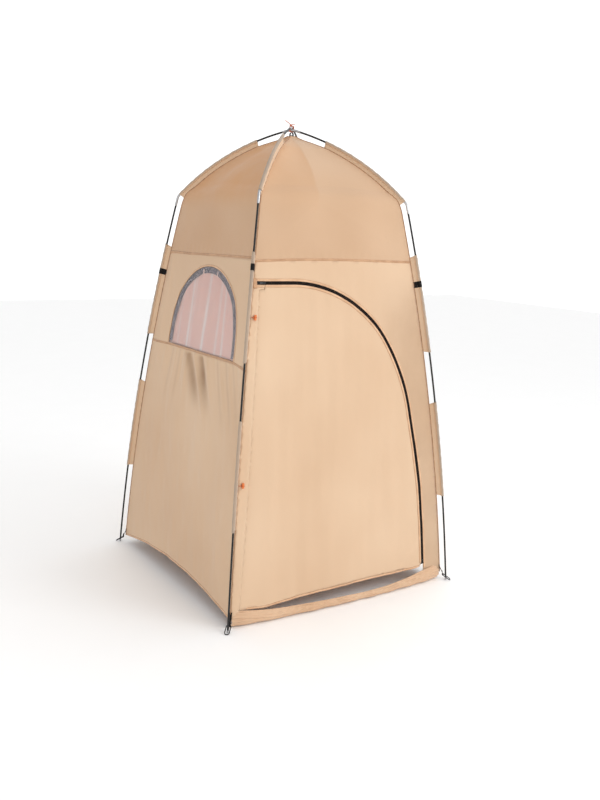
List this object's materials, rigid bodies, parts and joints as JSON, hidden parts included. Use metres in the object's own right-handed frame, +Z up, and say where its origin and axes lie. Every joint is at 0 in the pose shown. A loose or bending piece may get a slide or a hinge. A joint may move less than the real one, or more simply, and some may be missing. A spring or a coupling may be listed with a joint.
{
  "type": "privacy shower tent",
  "caption": "Tall square cloth cabin on two crossed bent poles with pole sleeves, a zipped arched door, a mesh window with an inner flap and corner ground rings.",
  "frame": {"origin": "on the ground under the centre of the cabin", "axes": "+Z up, the door faces -Y and the window faces -X"},
  "size_m": [1.241, 1.241, 2.1359],
  "materials": {
    "fibreglass": "satin",
    "silver_metal": "satin",
    "dark_metal": "satin",
    "black_webbing": "matte",
    "elastic_cord": "matte",
    "cloth": "matte",
    "flap_cloth": "matte",
    "zip_black": "satin",
    "mesh": "matte",
    "closing_band": "matte",
    "orange_cord": "satin"
  },
  "bodies": {
    "tent": {"apex_loop": "black_webbing", "apex_tie": "orange_cord", "apex_tube_over": "silver_metal", "apex_tube_under": "silver_metal", "door_sill": "cloth", "foot_rings": "dark_metal", "foot_straps": "black_webbing", "foot_tips": "silver_metal", "leg_ferrules": "silver_metal", "leg_lower_back_left": "fibreglass", "leg_lower_back_right": "fibreglass", "leg_lower_front_left": "fibreglass", "leg_lower_front_right": "fibreglass", "leg_middle_back_left": "fibreglass", "leg_middle_back_right": "fibreglass", "leg_middle_front_left": "fibreglass", "leg_middle_front_right": "fibreglass", "leg_upper_back_left": "fibreglass", "leg_upper_back_right": "fibreglass", "leg_upper_front_left": "fibreglass", "leg_upper_front_right": "fibreglass", "roof_pole_back_left": "fibreglass", "roof_pole_back_right": "fibreglass", "roof_pole_front_left": "fibreglass", "roof_pole_front_right": "fibreglass", "shock_cords": "elastic_cord", "shoulder_elbow_back_left": "silver_metal", "shoulder_elbow_back_right": "silver_metal", "shoulder_elbow_front_left": "silver_metal", "shoulder_elbow_front_right": "silver_metal", "sleeve_back_left": "cloth", "sleeve_back_right": "cloth", "sleeve_bands": "black_webbing", "sleeve_front_left": "cloth", "sleeve_front_right": "cloth", "upper_panel_back": "cloth", "upper_panel_front": "cloth", "upper_panel_left": "cloth", "upper_panel_right": "cloth", "wall_back": "cloth", "wall_front": "cloth", "wall_left_lower": "cloth", "wall_left_window": "cloth", "wall_right": "cloth", "window_band": "closing_band", "window_mesh": "mesh", "zip_stops": "zip_black", "zip_tape_end": "zip_black", "zip_tape_wall": "zip_black"},
    "door": {"door_panel": "cloth", "zip_tape_door": "zip_black"},
    "zip_slider": {"zip_slider": "dark_metal"},
    "zip_pull": {"zip_pull": "dark_metal"},
    "window_flap": {"window_flap": "flap_cloth"},
    "window_toggle_front": {"window_toggle_front": "orange_cord"},
    "window_toggle_back": {"window_toggle_back": "orange_cord"},
    "door_toggle_upper": {"door_toggle_upper": "orange_cord"},
    "door_toggle_lower": {"door_toggle_lower": "orange_cord"}
  },
  "joints": [
    {"name": "door_hinge", "type": "hinge", "parent": "tent", "child": "door", "pos_m": [-0.543, -0.58997, 0.074], "axis": [-0.1023, -0.1082, -0.9889], "range_deg": [0, 140]},
    {"name": "zip_slide", "type": "slide", "parent": "tent", "child": "zip_slider", "axis": [1, 0, 0], "range_m": [0, 0.155]},
    {"name": "pull_hinge", "type": "hinge", "parent": "zip_slider", "child": "zip_pull", "pos_m": [-0.3965, -0.43045, 1.42629], "axis": [0, -0.1533, -0.9882], "range_deg": [0, 165]},
    {"name": "window_flap_hinge", "type": "hinge", "parent": "tent", "child": "window_flap", "pos_m": [-0.46561, -0.03, 1.092], "axis": [0, 1, 0], "range_deg": [0, 150]},
    {"name": "window_toggle_front_swing", "type": "hinge", "parent": "window_flap", "child": "window_toggle_front", "pos_m": [-0.4521, -0.205, 1.146], "axis": [0, -1, 0], "range_deg": [-8, 80]},
    {"name": "window_toggle_back_swing", "type": "hinge", "parent": "window_flap", "child": "window_toggle_back", "pos_m": [-0.4521, 0.115, 1.146], "axis": [0, -1, 0], "range_deg": [-8, 80]},
    {"name": "door_toggle_upper_swing", "type": "hinge", "parent": "tent", "child": "door_toggle_upper", "pos_m": [-0.44291, -0.45241, 1.289], "axis": [-0.143, -0.143, -0.9793], "range_deg": [0, 80]},
    {"name": "door_toggle_lower_swing", "type": "hinge", "parent": "tent", "child": "door_toggle_lower", "pos_m": [-0.52723, -0.53673, 0.605], "axis": [-0.0997, -0.0997, -0.99], "range_deg": [0, 80]}
  ]
}
